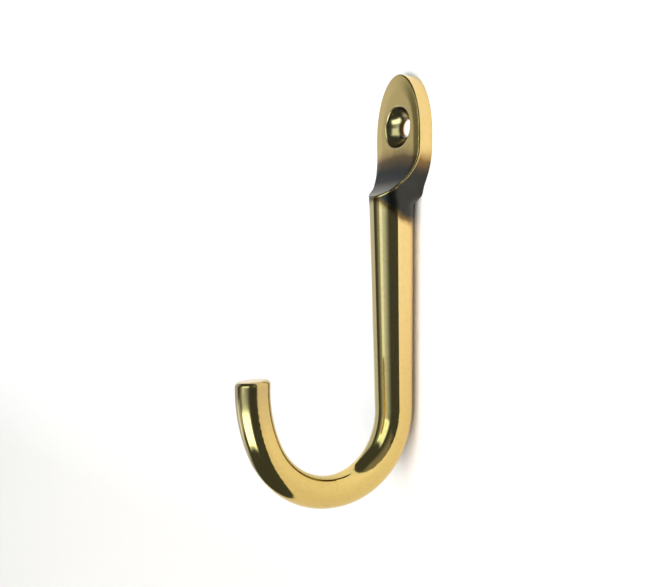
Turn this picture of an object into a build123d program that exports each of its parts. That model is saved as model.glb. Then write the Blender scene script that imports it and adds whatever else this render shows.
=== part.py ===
from build123d import *
import os
from math import cos, pi, radians, sin, sqrt

# Cast brass coat hook in one piece: an oval screw plate, a scooped neck, a round stem and a bow.
# Millimetres. The wall is the plane Y = 0, the hook reaches towards -Y, +Z is up,
# and the origin is where the screw hole's axis meets the wall.

# Screw plate
plate_width = 18.1
plate_thickness = 3.9
plate_top = 13.2  # top edge above the screw hole
plate_widest = 2.0  # widest level below the screw hole
plate_edge_radius = 0.4

# Screw hole
screw_hole_diameter = 4.8
countersink_diameter = 10.3
countersink_rim_angle = 62  # slope of the dished countersink at its rim
countersink_edge_radius = 0.5

# Neck, in distances below the screw hole
scoop_start = 5.9
scoop_radius = 13.0
flare_end = 17.0  # the neck is as narrow as the stem
flare_fullness = 1.9  # a higher value keeps the neck wide for longer
front_round_start = 13.0  # the square front corners start to turn round
front_round_end = 15.5
back_round_start = 15.0  # the plate's flat back starts to run out into the round stem
back_round_end = 20.0
trim_allowance = 2.3  # metal behind the wall plane that is trimmed flat

# Stem
stem_gap = 0.3  # between the stem and the wall
stem_top_diameter = 11.15
stem_bottom_diameter = 9.45

# Bow
bow_start = 69.8  # below the screw hole
drop_radius = 18.9  # of the centre line, from the stem to the lowest point
rise_radius = 19.5  # of the centre line, from the lowest point on
rise_angle = 66.5  # from the lowest point to the straighter stretch that ends in the tip
tip_radius = 34.0  # of the centre line
tip_angle = 30.0
tip_cut = 0.93  # part of the tip's length at which its end is cut
tip_slope = 10.0  # the cut falls away from the wall
bow_bottom_diameter = 7.85
rise_diameter = 8.15
tip_diameter = 8.25
tip_edge_radius = 1.1

# Levels of the neck's loft
neck_steps = 36


def share(value, start, end):
    """How much of the way from start to end has been covered, from 0 to 1."""
    return min(max((value - start) / (end - start), 0), 1)


def ease(part):
    """The same part of the way, with a soft start and a soft end."""
    return (1 - cos(pi * part)) / 2


def between(start, end, part):
    """The value a given part of the way from start to end."""
    return start + (end - start) * part


def stem_diameter(level):
    """Stem diameter at a level below the screw hole."""
    return between(stem_top_diameter, stem_bottom_diameter, share(level, flare_end, bow_start))


def section(half_width, back, front, radius, back_round, front_round):
    """Outline across the metal in four curves: a corner of roundness 0 is square, of 1 part of a circle."""
    inset = (1 - sqrt(0.5)) * radius
    handle = (4 / 3) * (sqrt(2) - 1) * sqrt(0.5) * radius
    back_corner = Vector(half_width - inset * back_round, back + inset * back_round)
    front_corner = Vector(half_width - inset * front_round, front - inset * front_round)
    corners = [
        (back_corner, Vector(handle, handle), back_round),
        (front_corner, Vector(-handle, handle), front_round),
        (Vector(-front_corner.X, front_corner.Y), Vector(-handle, -handle), front_round),
        (Vector(-back_corner.X, back_corner.Y), Vector(handle, -handle), back_round),
    ]
    with BuildLine() as outline:
        for corner, next_corner in zip(corners, corners[1:] + corners[:1]):
            start, leaving, start_round = corner
            end, arriving, end_round = next_corner
            third = (end - start) / 3
            Bezier(
                start,
                start + between(third, leaving, start_round),
                end - between(third, arriving, end_round),
                end,
            )
    make_face(outline.edges())


def neck_section(level):
    """Neck outline at a level below the screw hole, from the square plate to the round stem."""
    diameter = stem_diameter(level)
    narrowing = ease(share(level, plate_widest, flare_end) ** flare_fullness)
    back_round = ease(share(level, back_round_start, back_round_end))
    section(
        half_width=between(plate_width, diameter, narrowing) / 2,
        back=between(-trim_allowance, stem_gap, back_round),
        front=stem_gap + diameter,
        radius=diameter / 2,
        back_round=back_round,
        front_round=ease(share(level, front_round_start, front_round_end)),
    )


def round_section(diameter):
    """Round outline in four arcs, which carry on the four curves of the neck."""
    with BuildLine() as outline:
        for angle in (-45, 45, 135, 225):
            CenterArc((0, 0), diameter / 2, angle, 90)
    make_face(outline.edges())


# Centre line of the stem and the bow
with BuildLine(Plane.YZ) as centre_line:
    stem_line = Line(
        (-stem_gap - stem_diameter(back_round_end) / 2, -back_round_end),
        (-stem_gap - stem_bottom_diameter / 2, -bow_start),
    )
    drop_line = JernArc(stem_line @ 1, stem_line % 1, drop_radius, -90)
    rise_line = JernArc(drop_line @ 1, drop_line % 1, rise_radius, -rise_angle)
    tip_line = JernArc(rise_line @ 1, rise_line % 1, tip_radius, -tip_angle)

bow = [
    (drop_line, stem_bottom_diameter, bow_bottom_diameter),
    (rise_line, bow_bottom_diameter, rise_diameter),
    (tip_line, rise_diameter, tip_diameter),
]

with BuildPart() as coat_hook:
    # Round bow, thinnest at its lowest point, with a softened tip
    for line, start_diameter, end_diameter in bow:
        with BuildSketch(Plane(line @ 0, x_dir=(1, 0, 0), z_dir=line % 0)):
            Circle(start_diameter / 2)
        with BuildSketch(Plane(line @ 1, x_dir=(1, 0, 0), z_dir=line % 1)):
            Circle(end_diameter / 2)
        sweep(path=line, multisection=True)
    tip_end = Plane(tip_line @ tip_cut, x_dir=(1, 0, 0), z_dir=tip_line % tip_cut)
    split(bisect_by=tip_end.rotated((tip_slope, 0, 0)), keep=Keep.BOTTOM)
    tip = coat_hook.faces().filter_by(GeomType.PLANE).sort_by(Axis.Y)[0]
    fillet(tip.edges(), tip_edge_radius)

    # Round stem, a long cone whose back runs along the wall
    with Locations(Plane(stem_line @ 0, x_dir=(1, 0, 0), z_dir=stem_line % 0)):
        Cone(
            stem_diameter(back_round_end) / 2,
            stem_bottom_diameter / 2,
            stem_line.length,
            align=(Align.CENTER, Align.CENTER, Align.MIN),
        )

    # Blank of the neck, from the plate's widest level down to the stem
    for i in range(neck_steps):
        level = between(plate_widest, back_round_end, i / neck_steps)
        with BuildSketch(Plane((0, 0, -level), x_dir=(1, 0, 0), z_dir=(0, 0, -1))):
            neck_section(level)
    with BuildSketch(Plane(stem_line @ 0, x_dir=(1, 0, 0), z_dir=stem_line % 0)):
        round_section(stem_diameter(back_round_end))
    loft()

    # Upper half of the plate, as deep as the neck's blank
    with BuildSketch(Plane.XZ.offset(-trim_allowance)):
        with BuildLine():
            crown = EllipticalCenterArc(
                (0, -plate_widest), plate_width / 2, plate_top + plate_widest, arc_size=180
            )
            Line(crown @ 0, crown @ 1)
        make_face()
    extrude(amount=trim_allowance + stem_gap + stem_top_diameter)

    # Flat back against the wall
    split(bisect_by=Plane.XZ, keep=Keep.TOP)

    # Face of the plate and the scoop below it, cut straight across
    with BuildSketch(Plane.YZ):
        with BuildLine():
            cut_top = plate_top + scoop_radius
            face_line = Line((-plate_thickness, cut_top), (-plate_thickness, -scoop_start))
            scoop_arc = JernArc(face_line @ 1, face_line % 1, scoop_radius, -90)
            Polyline(scoop_arc @ 1, (-plate_thickness - scoop_radius, cut_top), face_line @ 0)
        make_face()
    extrude(amount=plate_width, both=True, mode=Mode.SUBTRACT)

    # Screw hole with a dished countersink, part of a sphere in front of the plate
    dish_radius = countersink_diameter / 2 / sin(radians(countersink_rim_angle))
    with Locations(Plane.XZ.offset(plate_thickness)):
        Hole(screw_hole_diameter / 2, depth=2 * plate_thickness)
    with Locations((0, -plate_thickness - dish_radius * cos(radians(countersink_rim_angle)), 0)):
        Sphere(dish_radius, mode=Mode.SUBTRACT)

    # Softened rims of the face, the scoop and the countersink
    face = coat_hook.faces().filter_by(Plane.XZ).sort_by(Axis.Y)[0]
    scoop = coat_hook.faces().filter_by(GeomType.CYLINDER).sort_by(SortBy.AREA)[-1]
    rim = (face.outer_wire().edges() + scoop.edges()).filter_by(GeomType.LINE, reverse=True)
    fillet(rim, plate_edge_radius)
    face = coat_hook.faces().filter_by(Plane.XZ).sort_by(Axis.Y)[0]
    fillet(face.inner_wires()[0].edges(), countersink_edge_radius)

coat_hook.part.label = "coat_hook"
os.makedirs("parts", exist_ok=True)
export_step(coat_hook.part, "parts/coat_hook.step")
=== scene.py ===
"""Brass coat hook on a pale wall: its finish, the studio light and the camera."""

import logging
from dataclasses import dataclass, field
from math import cos, pi, radians, sin
from typing import Any, Optional

import bpy
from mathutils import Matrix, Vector

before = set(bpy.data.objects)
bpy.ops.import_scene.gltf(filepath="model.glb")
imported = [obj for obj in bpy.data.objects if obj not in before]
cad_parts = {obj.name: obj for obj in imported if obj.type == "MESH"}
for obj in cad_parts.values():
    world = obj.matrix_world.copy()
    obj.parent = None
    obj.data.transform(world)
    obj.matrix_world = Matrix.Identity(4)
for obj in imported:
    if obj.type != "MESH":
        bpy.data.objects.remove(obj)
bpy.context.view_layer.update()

log = logging.getLogger("coat_hook")

Colour = tuple[float, float, float, float]
Point = tuple[float, float, float]
Range = tuple[float, float]
Cover = dict[str, bpy.types.NodeSocket]

MM_PER_METRE = 1000.0
# Past every point of the hook, so that a limit leaves that direction alone
FAR = 1000.0


def linear(code: str) -> Colour:
    """Turns an sRGB hex colour into linear light.

    Args:
        code: Six hex digits.

    Returns:
        Red, green, blue and an alpha of 1.
    """
    parts = [int(code[i : i + 2], 16) / 255 for i in (0, 2, 4)]
    red, green, blue = [p / 12.92 if p <= 0.04045 else ((p + 0.055) / 1.055) ** 2.4 for p in parts]
    return red, green, blue, 1.0


def add_node(
    tree: bpy.types.NodeTree,
    kind: str,
    inputs: Optional[dict[Any, Any]] = None,
    **settings: Any,
) -> bpy.types.Node:
    """Adds a node with its settings and links.

    Args:
        tree: The node tree it goes into.
        kind: The node's type.
        inputs: Values or linked outputs, by socket name or number.
        settings: The node's other properties.

    Returns:
        The new node.
    """
    node = tree.nodes.new(kind)
    for name, value in settings.items():
        setattr(node, name, value)
    for socket, value in (inputs or {}).items():
        if isinstance(value, bpy.types.NodeSocket):
            tree.links.new(value, node.inputs[socket])
        else:
            node.inputs[socket].default_value = value
    return node


def empty_tree(owner: bpy.types.Material | bpy.types.World) -> bpy.types.NodeTree:
    """Empties the node tree of a material or a world and returns it."""
    owner.use_nodes = True
    owner.node_tree.nodes.clear()
    return owner.node_tree


@dataclass(frozen=True)
class CastBrass:
    """Cast brass, polished on the stem and bow, satin on the plate, dark with age in the neck.

    The polish mirrors the wall and the softboxes in long stripes, the satin face blurs them
    to an even sheen, and the oxide in the neck takes the gold out of the reflection. Painted shade darkens
    the lower bow, the bore and a thin line round the face.
    Sizes are in millimetres, and levels are measured from the screw hole's axis.
    A range runs from where its finish starts to where it is full.
    """

    # Colours of the metal, of what age has left on it, and of painted shade on the lower bow, in the bore
    # and along a thin line round the face
    polish: str = "DDBF7F"
    bow_polish: str = "D0B46C"
    tip_dull: str = "B89F69"
    satin: str = "E6BF6F"
    dish_dull: str = "B0986A"
    brown: str = "8A6A3C"
    oxide: str = "3A3935"
    scoop_oxide: str = "3A3322"
    shade: str = "3A2E18"

    # Roughness of each finish
    polish_roughness: float = 0.09
    satin_roughness: float = 0.26
    satin_spread: float = 0.02
    dish_roughness: float = 0.18
    tip_roughness: float = 0.17
    oxide_roughness: float = 0.3

    # Grain of the face, and polishing lines across the stem
    grit: float = 0.35
    brush_length: float = 8.3333
    brush_width: float = 0.45
    brush_depth: float = 0.02
    brush_strength: float = 0.14

    # Fall of the face towards its rim, between shares of the plate's half size
    fall_depth: float = 0.25
    fall_shares: Range = (1.02, 0.7)

    # Painted shade: the bow is darker and warmer lower down. Use: coats have dulled the tip, which is found
    # by its level and its reach along Y, and specks lie all over
    bow_levels: Range = (-40.0, -88.0)
    tip_levels: Range = (-75.0, -64.0)
    tip_reach: Range = (-32.0, -38.0)
    tip_share: float = 0.85
    speck_size: float = 0.8
    speck_noise: Range = (0.5, 0.8)
    speck_share: float = 0.16

    # Edges of the plate's finishes: depths behind its face, margins round the hole, places along
    # Y that leave out the plate's back, and places along X that pick the rubbed side of the rim
    face_depths: Range = (0.05, 0.01)
    line_depths: Range = (0.16, 0.1)
    rim_depths: Range = (0.55, 0.4)
    dish_margin: float = 0.3
    bore_margin: float = 0.6
    off_back: Range = (-0.1, -0.4)
    rubbed_side: Range = (-1.5, 3.0)

    # Oxide: cloudy edges, which lie lower with the squared distance round from the stem's front,
    # a place along Y
    cloud_size: float = 3.0
    cloud_height: float = 1.6
    stem_front: float = -11.4
    depth_weight: float = 0.55
    upper_levels: Range = (-3.3, -11.5)
    upper_drop: float = 0.018
    lower_levels: Range = (-20.2, -16.6)
    lower_drop: float = 0.125
    brown_full: float = 0.5
    black_start: float = 0.35

    def material(self, hook: "CoatHook") -> bpy.types.Material:
        """Builds the material.

        Args:
            hook: The hook whose face, scoop and hole place the finishes.

        Returns:
            The finished material.
        """
        brass = bpy.data.materials.new("cast_brass_polished")
        tree = empty_tree(brass)
        place = add_node(tree, "ShaderNodeTexCoord").outputs["Object"]
        millimetres = add_node(
            tree, "ShaderNodeMapping", {"Vector": place, "Scale": (MM_PER_METRE,) * 3}
        ).outputs[0]
        cover = self._plate_cover(tree, millimetres, hook) | self._wear_and_shade_cover(tree, millimetres)
        cover["dark"] = add_node(
            tree,
            "ShaderNodeMath",
            {0: self._oxide_thickness(tree, millimetres), 1: cover["rubbed"]},
            operation="SUBTRACT",
            use_clamp=True,
        ).outputs[0]
        shader = add_node(
            tree,
            "ShaderNodeBsdfPrincipled",
            {
                "Base Color": self._colour(tree, cover),
                "Metallic": 1.0,
                "Roughness": self._roughness(tree, millimetres, cover),
                "Normal": self._relief(tree, millimetres, cover, hook),
            },
        ).outputs[0]
        add_node(tree, "ShaderNodeOutputMaterial", {"Surface": shader})
        return brass

    def _plate_cover(
        self, tree: bpy.types.NodeTree, millimetres: bpy.types.NodeSocket, hook: "CoatHook"
    ) -> Cover:
        """Finds the parts of the plate that are finished in their own way, and where shade is painted.

        Args:
            tree: The material's node tree.
            millimetres: The point in the hook's own frame.
            hook: The hook's sizes.

        Returns:
            Shares of the face, the thin line round it that is painted shade, the rubbed rim round it, the
            countersink, and the bore, which is painted shade.
        """
        # How deep a point lies behind the plate's face and the scoop that carries it on
        from_axis = add_node(
            tree,
            "ShaderNodeMapping",
            {
                "Vector": millimetres,
                "Location": (0.0, hook.plate_thickness + hook.scoop_radius, hook.scoop_start),
                "Scale": (0.0, 1.0, 1.0),
            },
        ).outputs[0]
        below = add_node(
            tree, "ShaderNodeVectorMath", {0: from_axis, 1: (FAR, FAR, 0.0)}, operation="MINIMUM"
        ).outputs[0]
        reach = add_node(tree, "ShaderNodeVectorMath", {0: below}, operation="LENGTH").outputs["Value"]
        depth = add_node(
            tree, "ShaderNodeMath", {0: reach, 1: hook.scoop_radius}, operation="SUBTRACT"
        ).outputs[0]

        # How far it lies from the screw hole's axis
        across = add_node(
            tree, "ShaderNodeMapping", {"Vector": millimetres, "Scale": (1.0, 0.0, 1.0)}
        ).outputs[0]
        from_hole = add_node(
            tree, "ShaderNodeVectorMath", {0: across}, operation="LENGTH"
        ).outputs["Value"]

        split = add_node(tree, "ShaderNodeSeparateXYZ", {0: millimetres}).outputs
        hole = hook.screw_hole_diameter / 2
        sink = hook.countersink_diameter / 2
        edges = (
            (depth, self.face_depths),
            (depth, self.line_depths),
            (depth, self.rim_depths),
            (from_hole, (sink + self.dish_margin, sink)),
            (from_hole, (hole + self.bore_margin, hole)),
            (split["Y"], self.off_back),
            (split["X"], self.rubbed_side),
        )
        face, lip, edge, within_sink, within_hole, off_back, side = [
            add_node(
                tree, "ShaderNodeMapRange", {"Value": value, "From Min": start, "From Max": full}
            ).outputs[0]
            for value, (start, full) in edges
        ]
        # The countersink and the bore, kept off the plate's back; the bore gets painted shade
        dish, shaded_bore = [
            add_node(tree, "ShaderNodeMath", {0: within, 1: off_back}, operation="MULTIPLY").outputs[0]
            for within in (within_sink, within_hole)
        ]
        beside, rim = [
            add_node(tree, "ShaderNodeMath", {0: outer, 1: face}, operation="SUBTRACT").outputs[0]
            for outer in (lip, edge)
        ]
        # The face, and the thin line beside it that gets painted shade, both kept off the countersink
        front, line = [
            add_node(
                tree, "ShaderNodeMath", {0: share, 1: dish}, operation="SUBTRACT", use_clamp=True
            ).outputs[0]
            for share in (face, beside)
        ]
        rubbed = add_node(tree, "ShaderNodeMath", {0: rim, 1: side}, operation="MULTIPLY").outputs[0]
        return {"front": front, "line": line, "rubbed": rubbed, "dish": dish, "shaded_bore": shaded_bore}

    def _wear_and_shade_cover(self, tree: bpy.types.NodeTree, millimetres: bpy.types.NodeSocket) -> Cover:
        """Finds where use has changed the polish, and where the lower bow gets painted shade.

        Args:
            tree: The material's node tree.
            millimetres: The point in the hook's own frame.

        Returns:
            Shares of the bow's painted shade, darker and warmer lower down, of the tip dulled by coats and
            of the fine brown specks.
        """
        split = add_node(tree, "ShaderNodeSeparateXYZ", {0: millimetres}).outputs
        noise = add_node(
            tree, "ShaderNodeTexNoise", {"Vector": millimetres, "Scale": 1 / self.speck_size, "Detail": 5.0}
        ).outputs["Fac"]
        ranges = (
            # The bow's painted shade grows towards its bottom
            (split["Z"], self.bow_levels, 1.0),
            (split["Z"], self.tip_levels, self.tip_share),
            (split["Y"], self.tip_reach, 1.0),
            (noise, self.speck_noise, self.speck_share),
        )
        bow, high, outward, specks = [
            add_node(
                tree,
                "ShaderNodeMapRange",
                {"Value": value, "From Min": start, "From Max": full, "To Max": most},
            ).outputs[0]
            for value, (start, full), most in ranges
        ]
        tip = add_node(tree, "ShaderNodeMath", {0: high, 1: outward}, operation="MULTIPLY").outputs[0]
        return {"bow": bow, "tip": tip, "specks": specks}

    def _oxide_thickness(
        self, tree: bpy.types.NodeTree, millimetres: bpy.types.NodeSocket
    ) -> bpy.types.NodeSocket:
        """Finds the oxide left in the neck, where polishing and hands don't reach.

        Args:
            tree: The material's node tree.
            millimetres: The point in the hook's own frame.

        Returns:
            The oxide's thickness, from 0 to 1.
        """
        cloud = add_node(
            tree, "ShaderNodeTexNoise", {"Vector": millimetres, "Scale": 1 / self.cloud_size, "Detail": 3.0}
        ).outputs["Fac"]

        # Squared distance sideways from the stem's front and back from it
        from_front = add_node(
            tree,
            "ShaderNodeMapping",
            {
                "Vector": millimetres,
                "Location": (0.0, -self.stem_front * self.depth_weight, 0.0),
                "Scale": (1.0, self.depth_weight, 0.0),
            },
        ).outputs[0]
        behind = add_node(
            tree, "ShaderNodeVectorMath", {0: from_front, 1: (-FAR, 0.0, 0.0)}, operation="MAXIMUM"
        ).outputs[0]
        around = add_node(
            tree, "ShaderNodeVectorMath", {0: behind, 1: behind}, operation="DOT_PRODUCT"
        ).outputs["Value"]

        height = add_node(tree, "ShaderNodeSeparateXYZ", {0: millimetres}).outputs["Z"]
        thickness: Any = 1.0
        for drop, (clear, dark) in (
            (self.upper_drop, self.upper_levels),
            (self.lower_drop, self.lower_levels),
        ):
            level = add_node(
                tree, "ShaderNodeMath", {0: around, 1: drop, 2: height}, operation="MULTIPLY_ADD"
            ).outputs[0]
            cloudy = add_node(
                tree, "ShaderNodeMath", {0: cloud, 1: self.cloud_height, 2: level}, operation="MULTIPLY_ADD"
            ).outputs[0]
            part = add_node(
                tree,
                "ShaderNodeMapRange",
                {
                    "Value": cloudy,
                    "From Min": clear + self.cloud_height / 2,
                    "From Max": dark + self.cloud_height / 2,
                },
                interpolation_type="SMOOTHSTEP",
            ).outputs[0]
            thickness = add_node(
                tree, "ShaderNodeMath", {0: part, 1: thickness}, operation="MULTIPLY"
            ).outputs[0]
        return thickness

    def _colour(self, tree: bpy.types.NodeTree, cover: Cover) -> bpy.types.NodeSocket:
        """Lays the colours over each other.

        Args:
            tree: The material's node tree.
            cover: The share of each finish.

        Returns:
            Gold with its wear and the lower bow's painted shade, browner where the oxide starts, nearly
            black where it is thick, and painted shade in the bore and along the line round the face.
        """
        black = add_node(
            tree,
            "ShaderNodeMix",
            {"Factor": cover["front"], "A": linear(self.oxide), "B": linear(self.scoop_oxide)},
            data_type="RGBA",
        ).outputs["Result"]
        thin = add_node(
            tree, "ShaderNodeMapRange", {"Value": cover["dark"], "From Max": self.brown_full}
        ).outputs[0]
        thick = add_node(
            tree, "ShaderNodeMapRange", {"Value": cover["dark"], "From Min": self.black_start}
        ).outputs[0]
        # Painted shade in the bore and along the thin line round the face
        painted_shade = add_node(
            tree, "ShaderNodeMath", {0: cover["line"], 1: cover["shaded_bore"]}, operation="MAXIMUM"
        ).outputs[0]
        colour: Any = linear(self.polish)
        for share, layer in (
            # The lower bow's darker, warmer polish is painted shade
            (cover["bow"], linear(self.bow_polish)),
            (cover["tip"], linear(self.tip_dull)),
            (cover["specks"], linear(self.brown)),
            (cover["dish"], linear(self.dish_dull)),
            (cover["front"], linear(self.satin)),
            (thin, linear(self.brown)),
            (thick, black),
            (painted_shade, linear(self.shade)),
        ):
            colour = add_node(
                tree, "ShaderNodeMix", {"Factor": share, "A": colour, "B": layer}, data_type="RGBA"
            ).outputs["Result"]
        return colour

    def _roughness(
        self, tree: bpy.types.NodeTree, millimetres: bpy.types.NodeSocket, cover: Cover
    ) -> bpy.types.NodeSocket:
        """Gives each finish its roughness.

        Args:
            tree: The material's node tree.
            millimetres: The point in the hook's own frame.
            cover: The share of each finish.

        Returns:
            The roughness.
        """
        # Satin grain of the face, drawn coarser than its grit so that it shows
        grain = add_node(
            tree, "ShaderNodeTexNoise", {"Vector": millimetres, "Scale": 1 / self.grit, "Detail": 4.0}
        ).outputs["Fac"]
        satin = add_node(
            tree,
            "ShaderNodeMapRange",
            {
                "Value": grain,
                "To Min": self.satin_roughness - self.satin_spread,
                "To Max": self.satin_roughness + self.satin_spread,
            },
        ).outputs[0]
        roughness: Any = self.polish_roughness
        for share, finish in (
            (cover["front"], satin),
            (cover["dish"], self.dish_roughness),
            (cover["tip"], self.tip_roughness),
            (cover["dark"], self.oxide_roughness),
        ):
            roughness = add_node(
                tree, "ShaderNodeMix", {"Factor": share, "A": roughness, "B": finish}
            ).outputs[0]
        return roughness

    def _relief(
        self,
        tree: bpy.types.NodeTree,
        millimetres: bpy.types.NodeSocket,
        cover: Cover,
        hook: "CoatHook",
    ) -> bpy.types.NodeSocket:
        """Lets the face fall off a little towards its rim and draws the polishing lines.

        Args:
            tree: The material's node tree.
            millimetres: The point in the hook's own frame.
            cover: The share of each finish.
            hook: The hook's sizes.

        Returns:
            The surface direction.
        """
        # Distance from the middle of the plate's widest level, as a share of the plate's half size
        half_width = hook.plate_width / 2
        half_height = hook.plate_top + hook.plate_widest
        oval = add_node(
            tree,
            "ShaderNodeMapping",
            {
                "Vector": millimetres,
                "Location": (0.0, 0.0, hook.plate_widest / half_height),
                "Scale": (1 / half_width, 0.0, 1 / half_height),
            },
        ).outputs[0]
        above = add_node(
            tree, "ShaderNodeVectorMath", {0: oval, 1: (-FAR, -FAR, 0.0)}, operation="MAXIMUM"
        ).outputs[0]
        from_middle = add_node(
            tree, "ShaderNodeVectorMath", {0: above}, operation="LENGTH"
        ).outputs["Value"]
        fall = add_node(
            tree,
            "ShaderNodeMapRange",
            {"Value": from_middle, "From Min": self.fall_shares[0], "From Max": self.fall_shares[1]},
            interpolation_type="SMOOTHSTEP",
        ).outputs[0]
        worn = add_node(
            tree,
            "ShaderNodeBump",
            {"Strength": cover["front"], "Distance": self.fall_depth / MM_PER_METRE, "Height": fall},
        ).outputs[0]

        # Fine polishing lines, long round the stem and narrow along it
        lines = add_node(
            tree,
            "ShaderNodeMapping",
            {
                "Vector": millimetres,
                "Scale": (1 / self.brush_length, 1 / self.brush_length, 1 / self.brush_width),
            },
        ).outputs[0]
        brushed = add_node(
            tree, "ShaderNodeTexNoise", {"Vector": lines, "Scale": 1.0, "Detail": 2.0}
        ).outputs["Fac"]
        return add_node(
            tree,
            "ShaderNodeBump",
            {
                "Strength": self.brush_strength,
                "Distance": self.brush_depth / MM_PER_METRE,
                "Height": brushed,
                "Normal": worn,
            },
        ).outputs[0]


@dataclass(frozen=True)
class WallPaint:
    """Matt white wall paint, with painted shade that makes it darker low down, and sizes in metres.

    It is clear from behind, so that the hook's back shows, and to rays that start very near it.
    """

    white: str = "F3F3F2"
    shaded_low: str = "DCDAD7"
    shade_levels: Range = (-0.03, -0.13)
    clear_distance: float = 0.00025

    def material(self) -> bpy.types.Material:
        """Builds the material and returns it."""
        paint = bpy.data.materials.new("matt_wall_paint")
        tree = empty_tree(paint)
        place = add_node(tree, "ShaderNodeTexCoord").outputs["Object"]
        level = add_node(tree, "ShaderNodeSeparateXYZ", {0: place}).outputs["Z"]
        # Painted shade: the wall grows darker towards the bottom
        low_shade = add_node(
            tree,
            "ShaderNodeMapRange",
            {"Value": level, "From Min": self.shade_levels[0], "From Max": self.shade_levels[1]},
        ).outputs[0]
        shaded_tone = add_node(
            tree,
            "ShaderNodeMix",
            {"Factor": low_shade, "A": linear(self.white), "B": linear(self.shaded_low)},
            data_type="RGBA",
        ).outputs["Result"]
        matt = add_node(tree, "ShaderNodeBsdfDiffuse", {"Color": shaded_tone}).outputs[0]
        clear = add_node(tree, "ShaderNodeBsdfTransparent").outputs[0]
        behind = add_node(tree, "ShaderNodeNewGeometry").outputs["Backfacing"]
        length = add_node(tree, "ShaderNodeLightPath").outputs["Ray Length"]
        near = add_node(
            tree, "ShaderNodeMath", {0: length, 1: self.clear_distance}, operation="LESS_THAN"
        ).outputs[0]
        through = add_node(tree, "ShaderNodeMath", {0: behind, 1: near}, operation="MAXIMUM").outputs[0]
        mixed = add_node(tree, "ShaderNodeMixShader", {0: through, 1: matt, 2: clear}).outputs[0]
        add_node(tree, "ShaderNodeOutputMaterial", {"Surface": mixed})
        return paint


@dataclass(frozen=True)
class FloorPaint:
    """Matt pale floor paint."""

    pale: str = "F2F1EE"

    def material(self) -> bpy.types.Material:
        """Builds the material and returns it."""
        paint = bpy.data.materials.new("matt_floor_paint")
        tree = empty_tree(paint)
        matt = add_node(tree, "ShaderNodeBsdfDiffuse", {"Color": linear(self.pale)}).outputs[0]
        add_node(tree, "ShaderNodeOutputMaterial", {"Surface": matt})
        return paint


@dataclass
class CoatHook:
    """The hook itself, one cast piece, with the sizes in millimetres that place its finishes."""

    plate_width: float = 18.1
    plate_thickness: float = 3.9
    plate_top: float = 13.2
    plate_widest: float = 2.0
    screw_hole_diameter: float = 4.8
    countersink_diameter: float = 10.3
    scoop_start: float = 5.9
    scoop_radius: float = 13.0
    finish: CastBrass = field(default_factory=CastBrass)

    def dress(self) -> list[bpy.types.Object]:
        """Gives the cast piece its brass.

        Returns:
            The dressed pieces.
        """
        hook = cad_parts["coat_hook"]
        hook.data.materials.clear()
        hook.data.materials.append(self.finish.material(self))
        return [hook]


@dataclass(frozen=True)
class Softbox:
    """A soft-edged light far from the hook, by the directions in degrees that it fills.

    Its soft sides and ends are the degrees over which it fades out past those directions.
    """

    name: str
    azimuth: Range
    elevation: Range
    radiance: float
    soft_sides: Range
    soft_ends: Range
    tint: str

    def glow(
        self, tree: bpy.types.NodeTree, azimuth: bpy.types.NodeSocket, elevation: bpy.types.NodeSocket
    ) -> bpy.types.NodeSocket:
        """Draws the light on the room around the hook.

        Args:
            tree: The room's node tree.
            azimuth: The direction's angle from straight out of the wall, in degrees.
            elevation: The direction's angle above the horizon, in degrees.

        Returns:
            The light's colour in each direction.
        """
        shine: Any = self.radiance
        ranges = ((azimuth, self.azimuth, self.soft_sides), (elevation, self.elevation, self.soft_ends))
        for angle, (start, end), (rise, fall) in ranges:
            for dark, bright in ((start - rise, start), (end + fall, end)):
                edge = add_node(
                    tree,
                    "ShaderNodeMapRange",
                    {"Value": angle, "From Min": dark, "From Max": bright},
                    interpolation_type="SMOOTHSTEP",
                ).outputs[0]
                shine = add_node(
                    tree, "ShaderNodeMath", {0: edge, 1: shine}, operation="MULTIPLY"
                ).outputs[0]
        return add_node(
            tree,
            "ShaderNodeVectorMath",
            {0: linear(self.tint)[:3], "Scale": shine},
            operation="SCALE",
        ).outputs[0]


@dataclass(frozen=True)
class WashLight:
    """A large light that whitens the wall and is kept out of the brass, placed in degrees and metres."""

    name: str
    azimuth: float
    elevation: float
    distance: float
    size: tuple[float, float]
    radiance: float
    tint: str

    def place(self, target: Vector) -> bpy.types.Object:
        """Puts the light in the scene.

        Args:
            target: The point that it faces.

        Returns:
            The light.
        """
        azimuth = radians(self.azimuth)
        elevation = radians(self.elevation)
        toward = Vector((sin(azimuth) * cos(elevation), -cos(azimuth) * cos(elevation), sin(elevation)))
        light = bpy.data.lights.new(self.name, "AREA")
        light.shape = "RECTANGLE"
        light.size, light.size_y = self.size
        light.energy = self.radiance * pi * light.size * light.size_y
        light.color = linear(self.tint)[:3]
        wash = bpy.data.objects.new(self.name, light)
        wash.location = target + toward * self.distance
        wash.rotation_euler = (-toward).to_track_quat("-Z", "Y").to_euler()
        wash.visible_camera = False
        wash.visible_glossy = False
        bpy.context.scene.collection.objects.link(wash)
        return wash


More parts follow.
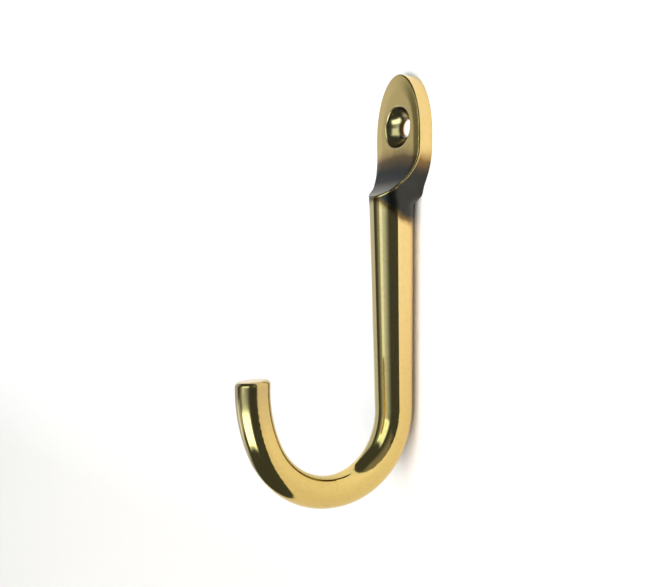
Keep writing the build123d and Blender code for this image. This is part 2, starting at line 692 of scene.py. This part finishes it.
@dataclass
class Studio:
    """Wall, floor, lights and camera round the hook, in metres and degrees."""

    light_target: Point = (0.0, -0.02, -0.045)
    sheet_size: float = 6.0
    wall_gap: float = 0.0001
    floor_level: float = -1.3
    lens_length_mm: float = 53.8
    sensor_width_mm: float = 36.0
    camera_place: Point = (0.2006, -0.1514, -0.0416)
    camera_tilt: float = 90.0
    camera_turn: float = 57.4

    # Colours of the dim room that the brass mirrors and of the pale backdrop that the camera sees
    room: str = "4A5154"
    paper: str = "E9E9E7"
    # A direction whose Y is past this leads behind the wall, to the backdrop
    wall_horizon: float = 0.02

    # Each by its name, azimuth, elevation, radiance, soft sides, soft ends and tint
    softboxes: tuple[Softbox, ...] = (
        Softbox("upper_softbox", (-8, 30), (5, 32), 1.9, (6, 10), (3, 10), "DFFDFF"),
        Softbox("lower_softbox", (-14, 28), (-33, -20), 4.4, (16, 12), (6, 5), "DAF3FF"),
        Softbox("middle_panel", (-8, 6), (-16, 3), 1.0, (6, 40), (3, 4), "D2E8FF"),
        Softbox("edge_strip", (-3, 3), (-6, 3), 0.6, (5, 5), (3, 3), "D2E8FF"),
        Softbox("dim_panel", (-16, -8), (-12, 34), 0.34, (18, 6), (4, 10), "EEFDFF"),
        Softbox("side_panel", (-180, -51), (-26, 30), 0.95, (1, 5), (14, 14), "CFDFFF"),
        Softbox("low_side_panel", (-60, -36), (-22, -13), 0.9, (8, 10), (6, 4), "CFDFFF"),
        Softbox("right_panel", (75, 100), (14, 50), 0.22, (30, 1), (8, 15), "FFFFFF"),
    )
    # Each by its name, azimuth, elevation, distance, size, radiance and tint
    washes: tuple[WashLight, ...] = (
        WashLight("wash_front", 25, -18, 1.8, (1.3, 0.9), 9.4, "FFF1E9"),
        WashLight("wash_right", 66, 35, 1.6, (1.5, 1.5), 0.5, "FFF0E6"),
    )

    def build(self) -> list[bpy.types.Object]:
        """Builds the wall, and the floor, which is kept out of the brass.

        Returns:
            The stage pieces.
        """
        wall = self._sheet("wall", (0.0, self.wall_gap, 0.0), radians(90), WallPaint().material())
        floor = self._sheet("floor", (0.0, 0.0, self.floor_level), 0.0, FloorPaint().material())
        floor.visible_glossy = False
        return [wall, floor]

    def _sheet(
        self, name: str, centre: Point, tilt: float, paint: bpy.types.Material
    ) -> bpy.types.Object:
        """Adds a large flat sheet.

        Args:
            name: Its name.
            centre: Its middle.
            tilt: How far it is turned about X, in radians.
            paint: Its material.

        Returns:
            The sheet, with its place in its mesh.
        """
        bpy.ops.object.select_all(action="DESELECT")
        bpy.ops.mesh.primitive_plane_add(
            size=self.sheet_size, location=centre, rotation=(tilt, 0.0, 0.0)
        )
        bpy.ops.object.transform_apply()
        sheet = bpy.context.object
        sheet.name = name
        sheet.data.materials.append(paint)
        return sheet

    def light(self) -> list[bpy.types.Object]:
        """Draws the softboxes on the dim room and places the wall washes.

        Returns:
            The lights.
        """
        scene = bpy.context.scene
        scene.world = bpy.data.worlds.new("dim_room")
        tree = empty_tree(scene.world)
        direction = add_node(tree, "ShaderNodeTexCoord").outputs["Generated"]
        split = add_node(tree, "ShaderNodeSeparateXYZ", {0: direction}).outputs
        outward = add_node(
            tree, "ShaderNodeMath", {0: split["Y"], 1: -1.0}, operation="MULTIPLY"
        ).outputs[0]
        turned = add_node(
            tree, "ShaderNodeMath", {0: split["X"], 1: outward}, operation="ARCTAN2"
        ).outputs[0]
        raised = add_node(tree, "ShaderNodeMath", {0: split["Z"]}, operation="ARCSINE").outputs[0]
        azimuth, elevation = [
            add_node(tree, "ShaderNodeMath", {0: angle}, operation="DEGREES").outputs[0]
            for angle in (turned, raised)
        ]
        glow: Any = linear(self.room)[:3]
        for box in self.softboxes:
            glow = add_node(
                tree,
                "ShaderNodeVectorMath",
                {0: glow, 1: box.glow(tree, azimuth, elevation)},
                operation="ADD",
            ).outputs[0]
        room, paper = [
            add_node(tree, "ShaderNodeBackground", {"Color": colour, "Strength": 1.0}).outputs[0]
            for colour in (glow, linear(self.paper))
        ]
        behind = add_node(
            tree, "ShaderNodeMath", {0: split["Y"], 1: self.wall_horizon}, operation="GREATER_THAN"
        ).outputs[0]
        shown = add_node(tree, "ShaderNodeLightPath").outputs["Is Camera Ray"]
        pale = add_node(tree, "ShaderNodeMath", {0: behind, 1: shown}, operation="MAXIMUM").outputs[0]
        mixed = add_node(tree, "ShaderNodeMixShader", {0: pale, 1: room, 2: paper}).outputs[0]
        add_node(tree, "ShaderNodeOutputWorld", {"Surface": mixed})
        scene.view_settings.view_transform = "Standard"
        return [wash.place(Vector(self.light_target)) for wash in self.washes]

    def camera(self) -> bpy.types.Object:
        """Puts the camera at the reference view and returns it."""
        lens = bpy.data.cameras.new("camera")
        lens.lens = self.lens_length_mm
        lens.sensor_width = self.sensor_width_mm
        camera = bpy.data.objects.new("camera", lens)
        camera.location = self.camera_place
        camera.rotation_euler = (radians(self.camera_tilt), 0.0, radians(self.camera_turn))
        bpy.context.scene.collection.objects.link(camera)
        bpy.context.scene.camera = camera
        return camera


def main() -> None:
    """Dresses the hook, builds the studio round it and reports each piece."""
    logging.basicConfig(level=logging.INFO, format="%(name)s: %(message)s")
    studio = Studio()
    for piece in CoatHook().dress():
        log.info("dressed %s with %s", piece.name, piece.data.materials[0].name)
    for piece in studio.build():
        log.info("stage piece %s", piece.name)
    for lamp in studio.light():
        log.info("light %s at %.0f W", lamp.name, lamp.data.energy)
    log.info("camera with a %.1f mm lens", studio.camera().data.lens)


if __name__ == "__main__":
    main()
